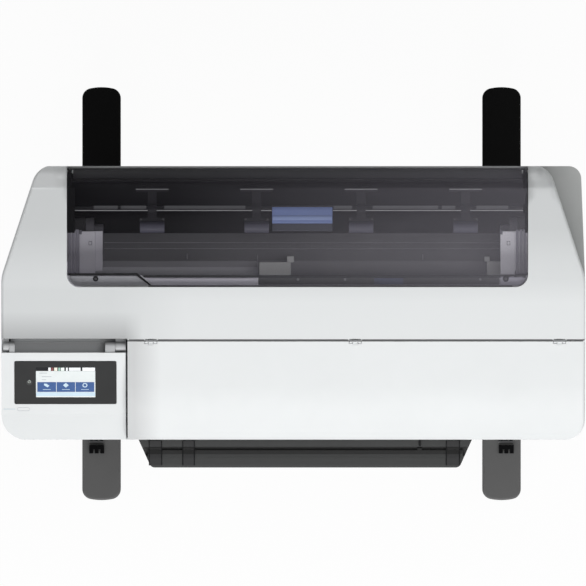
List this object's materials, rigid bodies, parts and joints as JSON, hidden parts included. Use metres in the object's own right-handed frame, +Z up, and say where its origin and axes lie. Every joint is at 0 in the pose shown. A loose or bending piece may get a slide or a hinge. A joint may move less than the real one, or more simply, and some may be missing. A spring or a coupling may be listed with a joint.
{
  "type": "large format printer",
  "caption": "Roll-fed wide printer on a two-legged caster stand: white casing, smoked roll cover, lifting front cover and tilting touch panel.",
  "frame": {"origin": "on the floor, under the middle of the footprint", "axes": "+X to the printer's right as seen from the front, -Y towards the user, +Z up"},
  "size_m": [0.97, 0.698, 0.9126],
  "materials": {
    "white_casing": "satin",
    "grey_casing": "satin",
    "dark_casing": "satin",
    "stand_dark_grey": "satin",
    "stand_black": "satin",
    "black_plastic": "satin",
    "caster_tread": "matte",
    "smoked_clear": "gloss",
    "bay_plastic": "satin",
    "support_plastic": "satin",
    "blue_plastic": "satin",
    "roller_rubber": "matte",
    "steel": "satin",
    "belt_rubber": "matte",
    "display": "gloss",
    "ink_plastic": "satin",
    "waste_plastic": "satin",
    "board_green": "satin"
  },
  "bodies": {
    "stand": {"stand_foot_left": "stand_dark_grey", "stand_foot_right": "stand_dark_grey", "rear_foot_covers": "stand_black", "stand_column_left": "stand_dark_grey", "stand_column_right": "stand_dark_grey", "stand_crossbar": "stand_dark_grey", "stand_screws": "steel", "cable_hooks": "black_plastic", "base_pan": "dark_casing", "top_housing": "white_casing", "corner_pod": "grey_casing", "output_guide": "dark_casing", "hinge_pins": "steel", "roll_bay": "bay_plastic", "roll_supports": "support_plastic", "side_frames": "steel", "guide_shaft": "steel", "carriage_rail": "steel", "drive_belt": "belt_rubber", "drive_motors": "steel", "platen": "black_plastic", "waste_ink_box": "waste_plastic", "ink_bay": "black_plastic", "ink_cartridges": "ink_plastic", "main_board": "board_green", "power_supply": "steel", "power_inlet": "black_plastic", "data_sockets": "black_plastic"},
    "roll_cover": {"roll_cover_window": "smoked_clear", "roll_cover_frame": "black_plastic"},
    "pressure_frame": {"pressure_bar": "steel", "pressure_arms": "support_plastic", "blue_grip": "blue_plastic"},
    "pressure_rollers": {"pressure_rollers": "roller_rubber"},
    "front_cover": {"front_cover": "white_casing"},
    "control_panel": {"panel_housing": "white_casing", "panel_bezel": "black_plastic", "display_glass": "display"},
    "power_button": {"power_button": "black_plastic"},
    "roll_hub_left": {"roll_hub_left": "support_plastic"},
    "roll_hub_right": {"roll_hub_right": "support_plastic"},
    "feed_roller": {"feed_roller": "steel"},
    "motor_pinion": {"motor_pinion": "steel"},
    "pinch_rollers": {"pinch_rollers": "roller_rubber"},
    "output_roller": {"output_roller": "roller_rubber"},
    "carriage": {"carriage": "black_plastic", "print_head": "steel"},
    "drive_pulley": {"drive_pulley": "steel"},
    "idler_pulley": {"idler_pulley": "steel"},
    "cap_sled": {"cap_sled": "black_plastic"},
    "caster_front_left": {"caster_fork_front_left": "black_plastic"},
    "wheel_front_left": {"caster_wheel_front_left": "caster_tread"},
    "caster_front_right": {"caster_fork_front_right": "black_plastic"},
    "wheel_front_right": {"caster_wheel_front_right": "caster_tread"},
    "caster_rear_left": {"caster_fork_rear_left": "black_plastic"},
    "wheel_rear_left": {"caster_wheel_rear_left": "caster_tread"},
    "caster_rear_right": {"caster_fork_rear_right": "black_plastic"},
    "wheel_rear_right": {"caster_wheel_rear_right": "caster_tread"},
    "pedal_front_left": {"brake_pedal_front_left": "black_plastic"},
    "pedal_front_right": {"brake_pedal_front_right": "black_plastic"}
  },
  "joints": [
    {"name": "roll_cover_hinge", "type": "hinge", "parent": "stand", "child": "roll_cover", "pos_m": [0.007, 0.202, 0.871], "axis": [-1, 0, 0], "range_deg": [0, 85]},
    {"name": "pressure_frame_swing", "type": "hinge", "parent": "roll_cover", "child": "pressure_frame", "pos_m": [0.007, 0.141, 0.883], "axis": [-1, 0, 0], "range_deg": [0, 12], "stiffness_Nm_per_rad": 0.5, "springref_deg": -17.19},
    {"name": "pressure_roller_spin", "type": "hinge", "parent": "pressure_frame", "child": "pressure_rollers", "pos_m": [0.026, 0.111, 0.869], "axis": [1, 0, 0], "continuous": true},
    {"name": "front_cover_hinge", "type": "hinge", "parent": "stand", "child": "front_cover", "pos_m": [0.103, -0.079, 0.8888], "axis": [-1, 0, 0], "range_deg": [0, 60]},
    {"name": "control_panel_tilt", "type": "hinge", "parent": "stand", "child": "control_panel", "pos_m": [-0.38, -0.088, 0.867], "axis": [-1, 0, 0], "range_deg": [0, 25]},
    {"name": "power_button_press", "type": "slide", "parent": "control_panel", "child": "power_button", "axis": [0, 0.4559, -0.89], "range_m": [0, 0.001], "stiffness_N_per_m": 300, "springref_m": -0.001},
    {"name": "roll_hub_left_spin", "type": "hinge", "parent": "stand", "child": "roll_hub_left", "pos_m": [-0.33, 0.0905, 0.803], "axis": [1, 0, 0], "continuous": true},
    {"name": "roll_hub_right_spin", "type": "hinge", "parent": "stand", "child": "roll_hub_right", "pos_m": [0.358, 0.0905, 0.803], "axis": [1, 0, 0], "continuous": true},
    {"name": "feed_roller_spin", "type": "hinge", "parent": "stand", "child": "feed_roller", "pos_m": [0.014, -0.02, 0.746], "axis": [1, 0, 0], "continuous": true},
    {"name": "motor_pinion_spin", "type": "hinge", "parent": "stand", "child": "motor_pinion", "pos_m": [-0.343, -0.0497, 0.7163], "axis": [1, 0, 0], "continuous": true},
    {"name": "pinch_roller_spin", "type": "hinge", "parent": "stand", "child": "pinch_rollers", "pos_m": [0.014, -0.02, 0.7644], "axis": [1, 0, 0], "continuous": true},
    {"name": "output_roller_spin", "type": "hinge", "parent": "stand", "child": "output_roller", "pos_m": [0.014, -0.158, 0.751], "axis": [1, 0, 0], "continuous": true},
    {"name": "carriage_slide", "type": "slide", "parent": "stand", "child": "carriage", "axis": [-1, 0, 0], "range_m": [0, 0.655]},
    {"name": "drive_pulley_spin", "type": "hinge", "parent": "stand", "child": "drive_pulley", "pos_m": [-0.36, -0.053, 0.833], "axis": [0, 0, 1], "continuous": true},
    {"name": "idler_pulley_spin", "type": "hinge", "parent": "stand", "child": "idler_pulley", "pos_m": [0.452, -0.053, 0.833], "axis": [0, 0, 1], "continuous": true},
    {"name": "cap_sled_drop", "type": "slide", "parent": "stand", "child": "cap_sled", "axis": [0, 0, -1], "range_m": [0, 0.006]},
    {"name": "caster_front_left_swivel", "type": "hinge", "parent": "stand", "child": "caster_front_left", "pos_m": [-0.324, -0.3, 0.06], "axis": [0, 0, 1], "continuous": true},
    {"name": "wheel_front_left_spin", "type": "hinge", "parent": "caster_front_left", "child": "wheel_front_left", "pos_m": [-0.324, -0.282, 0.025], "axis": [1, 0, 0], "continuous": true},
    {"name": "caster_front_right_swivel", "type": "hinge", "parent": "stand", "child": "caster_front_right", "pos_m": [0.352, -0.3, 0.06], "axis": [0, 0, 1], "continuous": true},
    {"name": "wheel_front_right_spin", "type": "hinge", "parent": "caster_front_right", "child": "wheel_front_right", "pos_m": [0.352, -0.282, 0.025], "axis": [1, 0, 0], "continuous": true},
    {"name": "caster_rear_left_swivel", "type": "hinge", "parent": "stand", "child": "caster_rear_left", "pos_m": [-0.324, 0.3, 0.06], "axis": [0, 0, 1], "continuous": true},
    {"name": "wheel_rear_left_spin", "type": "hinge", "parent": "caster_rear_left", "child": "wheel_rear_left", "pos_m": [-0.324, 0.282, 0.025], "axis": [1, 0, 0], "continuous": true},
    {"name": "caster_rear_right_swivel", "type": "hinge", "parent": "stand", "child": "caster_rear_right", "pos_m": [0.352, 0.3, 0.06], "axis": [0, 0, 1], "continuous": true},
    {"name": "wheel_rear_right_spin", "type": "hinge", "parent": "caster_rear_right", "child": "wheel_rear_right", "pos_m": [0.352, 0.282, 0.025], "axis": [1, 0, 0], "continuous": true},
    {"name": "brake_pedal_front_left_press", "type": "hinge", "parent": "caster_front_left", "child": "pedal_front_left", "pos_m": [-0.324, -0.32, 0.049], "axis": [1, 0, 0], "range_deg": [0, 15]},
    {"name": "brake_pedal_front_right_press", "type": "hinge", "parent": "caster_front_right", "child": "pedal_front_right", "pos_m": [0.352, -0.32, 0.049], "axis": [1, 0, 0], "range_deg": [0, 15]}
  ],
  "couplings": [
    {"joint": "motor_pinion_spin", "follows": "feed_roller_spin", "ratio": -2.5},
    {"joint": "pinch_roller_spin", "follows": "feed_roller_spin", "ratio": -2},
    {"joint": "output_roller_spin", "follows": "feed_roller_spin", "ratio": 1.7143},
    {"joint": "drive_pulley_spin", "follows": "carriage_slide", "rad_per_m": -109.89},
    {"joint": "idler_pulley_spin", "follows": "carriage_slide", "rad_per_m": -109.89}
  ]
}
